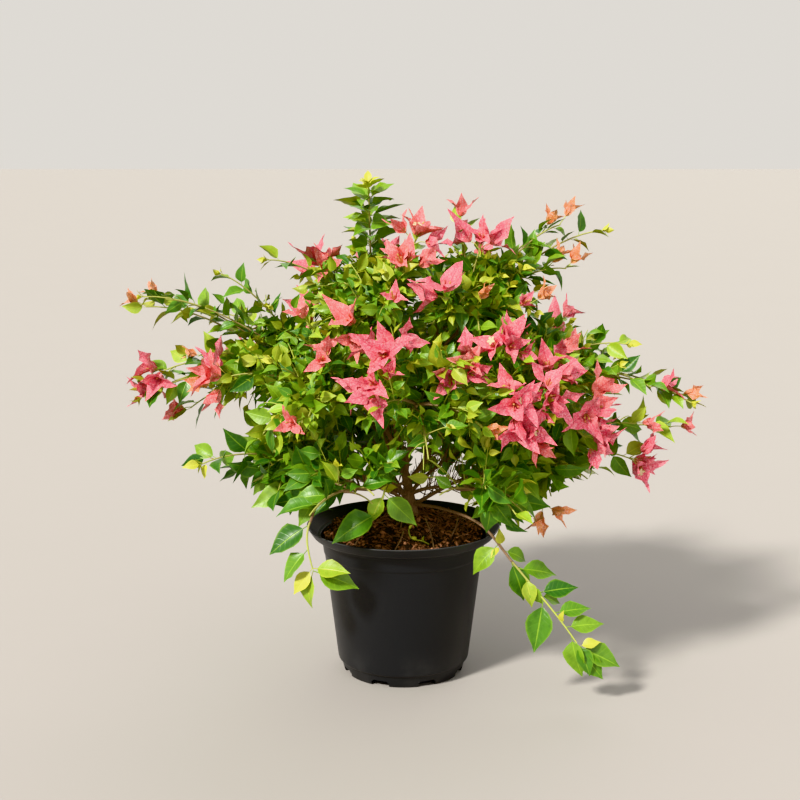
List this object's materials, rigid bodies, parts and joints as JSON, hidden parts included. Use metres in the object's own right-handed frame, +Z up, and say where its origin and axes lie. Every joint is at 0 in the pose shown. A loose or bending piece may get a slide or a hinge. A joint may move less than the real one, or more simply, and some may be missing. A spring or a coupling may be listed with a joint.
{
  "type": "potted bougainvillea bush",
  "caption": "Bushy flowering shrub in a round nursery pot, with a short trunk, thin boughs, leafy shoots that stand out and hang over the rim, and clusters of papery bracts.",
  "frame": {"origin": "middle of the pot's flat underside", "axes": "+Z up, -Y to the front, +X to the right seen from the front"},
  "size_m": [0.7073, 0.5392, 0.6169],
  "materials": {
    "pot": "matte black with a faint grain",
    "soil": "coarse potting mix with bark and fibre",
    "bark": "tan bark, rough at the foot",
    "foliage": "semi-gloss leaves, with papery pink bracts"
  },
  "bodies": {
    "root": {"pot": "pot", "soil": "soil", "trunk": "bark", "bough_low_1": "bark", "bough_low_2": "bark", "bough_low_3": "bark", "bough_low_4": "bark", "bough_low_5": "bark", "bough_low_6": "bark", "bough_middle_1": "bark", "bough_middle_2": "bark", "bough_middle_3": "bark", "bough_middle_4": "bark", "bough_middle_5": "bark", "bough_middle_6": "bark", "bough_middle_7": "bark", "bough_top_1": "bark", "bough_top_2": "bark", "bough_top_3": "bark", "bough_top_4": "bark", "bough_hanging_right": "bark", "bough_hanging_left": "bark", "bough_front_sprig": "bark", "foliage_low_1": "foliage", "foliage_low_2": "foliage", "foliage_low_3": "foliage", "foliage_low_4": "foliage", "foliage_low_5": "foliage", "foliage_low_6": "foliage", "foliage_middle_1": "foliage", "foliage_middle_2": "foliage", "foliage_middle_3": "foliage", "foliage_middle_4": "foliage", "foliage_middle_5": "foliage", "foliage_middle_6": "foliage", "foliage_middle_7": "foliage", "foliage_top_1": "foliage", "foliage_top_2": "foliage", "foliage_top_3": "foliage", "foliage_top_4": "foliage", "foliage_hanging_right": "foliage", "foliage_hanging_left": "foliage", "foliage_front_sprig": "foliage"}
  },
  "joints": []
}
